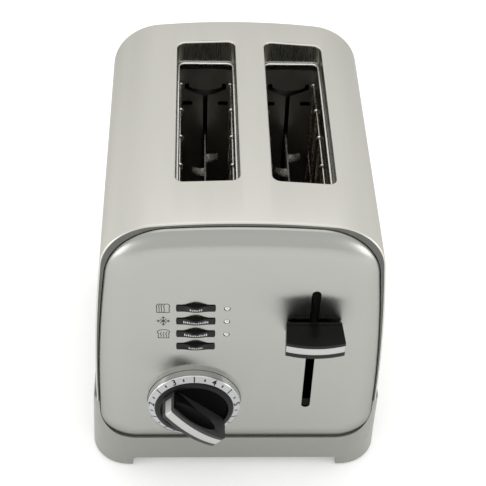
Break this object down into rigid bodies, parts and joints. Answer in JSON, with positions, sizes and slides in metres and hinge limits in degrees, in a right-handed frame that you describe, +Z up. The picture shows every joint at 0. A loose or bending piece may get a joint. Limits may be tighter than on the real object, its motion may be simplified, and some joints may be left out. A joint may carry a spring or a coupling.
{
  "type": "pop-up toaster",
  "caption": "Compact pop-up toaster: brushed shell wrapped over a skirted base, long bread slots, side-mounted lever, browning dial and a column of keys on the front end.",
  "frame": {"origin": "middle of the footprint, on the surface that the rubber feet stand on", "axes": "+Z up, front with lever, keys and dial towards -Y, +X to the right of someone facing the front"},
  "size_m": [0.185, 0.232, 0.2135],
  "materials": {
    "brushed_steel": "fine brushed grain running front to back, satin",
    "satin_steel": "satin pressed steel with a very fine grain",
    "chrome": "polished",
    "plated_steel": "plain zinc plated sheet and wire",
    "painted_base": "satin silver-grey moulding",
    "black_plastic": "satin to gloss moulded black",
    "silver_trim": "satin silver",
    "white_scale": "satin pale silver with dark marks",
    "clear_lens": "clear moulded lens",
    "rubber": "matt moulded rubber",
    "mica": "pressed mica sheet",
    "nichrome": "oxidised resistance ribbon",
    "green_board": "glass fibre board",
    "magnet_iron": "bare soft iron and dark screws",
    "copper_winding": "enamelled copper winding"
  },
  "bodies": {
    "housing": {"outer_shell": "brushed_steel", "front_panel": "satin_steel", "rear_panel": "satin_steel", "base": "painted_base", "foot_pad_front_left": "rubber", "foot_pad_front_right": "rubber", "foot_pad_rear_left": "rubber", "foot_pad_rear_right": "rubber", "bottom_plate": "plated_steel", "front_end_plate": "plated_steel", "rear_end_plate": "plated_steel", "chassis_top_plate": "plated_steel", "heat_reflector_left": "plated_steel", "heat_reflector_right": "plated_steel", "guide_rod": "plated_steel", "lift_spring": "plated_steel", "electromagnet_core": "magnet_iron", "bottom_screw_1": "magnet_iron", "bottom_screw_2": "magnet_iron", "bottom_screw_3": "magnet_iron", "bottom_screw_4": "magnet_iron", "electromagnet_coil": "copper_winding", "mica_card_left": "mica", "mica_card_centre": "mica", "mica_card_right": "mica", "heating_ribbon_left": "nichrome", "heating_ribbon_centre": "nichrome", "heating_ribbon_right": "nichrome", "cord_gland": "black_plastic", "browning_potentiometer": "black_plastic", "button_switch_1": "black_plastic", "button_switch_2": "black_plastic", "button_switch_3": "black_plastic", "button_switch_4": "black_plastic", "dial_bezel": "chrome", "dial_scale_ring": "white_scale", "indicator_lens_1": "clear_lens", "indicator_lens_2": "clear_lens", "indicator_lens_3": "clear_lens", "control_board": "green_board"},
    "carriage": {"lift_bracket": "plated_steel", "bread_rack_left": "plated_steel", "bread_rack_right": "plated_steel", "lever_arm": "plated_steel", "lever_knob": "black_plastic", "lever_knob_trim": "silver_trim", "armature_plate": "magnet_iron"},
    "dial": {"dial_knob": "black_plastic", "dial_knob_trim": "silver_trim", "dial_shaft": "plated_steel"},
    "tray": {"crumb_tray": "plated_steel"},
    "guide_left_outer": {"bread_guide_left_outer": "plated_steel"},
    "guide_left_inner": {"bread_guide_left_inner": "plated_steel"},
    "guide_right_outer": {"bread_guide_right_outer": "plated_steel"},
    "guide_right_inner": {"bread_guide_right_inner": "plated_steel"},
    "key_max": {"button_max": "black_plastic"},
    "key_defrost": {"button_defrost": "black_plastic"},
    "key_reheat": {"button_reheat": "black_plastic"},
    "key_stop": {"button_stop": "black_plastic"}
  },
  "joints": [
    {"name": "lift", "type": "slide", "parent": "housing", "child": "carriage", "axis": [0, 0, 1], "range_m": [-0.066, 0.018], "stiffness_N_per_m": 250, "springref_m": 0.006, "deforming": ["lift_spring"]},
    {"name": "guide_left_outer_swing", "type": "hinge", "parent": "housing", "child": "guide_left_outer", "pos_m": [-0.0364, 0.01925, 0.1775], "axis": [0, 1, 0], "range_deg": [-3.6, 1.1]},
    {"name": "guide_left_inner_swing", "type": "hinge", "parent": "housing", "child": "guide_left_inner", "pos_m": [-0.0034, 0.01925, 0.1775], "axis": [0, 1, 0], "range_deg": [-1.1, 3.6]},
    {"name": "guide_right_outer_swing", "type": "hinge", "parent": "housing", "child": "guide_right_outer", "pos_m": [0.0514, 0.01925, 0.1775], "axis": [0, 1, 0], "range_deg": [-1.1, 3.6]},
    {"name": "guide_right_inner_swing", "type": "hinge", "parent": "housing", "child": "guide_right_inner", "pos_m": [0.0184, 0.01925, 0.1775], "axis": [0, 1, 0], "range_deg": [-3.6, 1.1]},
    {"name": "dial_turn", "type": "hinge", "parent": "housing", "child": "dial", "pos_m": [-0.0267, -0.091, 0.0722], "axis": [0, 1, 0], "range_deg": [-85, 195]},
    {"name": "key_max_press", "type": "slide", "parent": "housing", "child": "key_max", "axis": [0, 1, 0], "range_m": [0, 0.0018], "stiffness_N_per_m": 400, "springref_m": -0.0005},
    {"name": "key_defrost_press", "type": "slide", "parent": "housing", "child": "key_defrost", "axis": [0, 1, 0], "range_m": [0, 0.0018], "stiffness_N_per_m": 400, "springref_m": -0.0005},
    {"name": "key_reheat_press", "type": "slide", "parent": "housing", "child": "key_reheat", "axis": [0, 1, 0], "range_m": [0, 0.0018], "stiffness_N_per_m": 400, "springref_m": -0.0005},
    {"name": "key_stop_press", "type": "slide", "parent": "housing", "child": "key_stop", "axis": [0, 1, 0], "range_m": [0, 0.0018], "stiffness_N_per_m": 400, "springref_m": -0.0005},
    {"name": "tray_slide", "type": "slide", "parent": "housing", "child": "tray", "axis": [0, 1, 0], "range_m": [0, 0.17]}
  ],
  "couplings": [
    {"joint": "guide_left_outer_swing", "follows": "lift", "rad_per_m": 0.9},
    {"joint": "guide_left_inner_swing", "follows": "lift", "rad_per_m": -0.9},
    {"joint": "guide_right_outer_swing", "follows": "lift", "rad_per_m": -0.9},
    {"joint": "guide_right_inner_swing", "follows": "lift", "rad_per_m": 0.9}
  ]
}
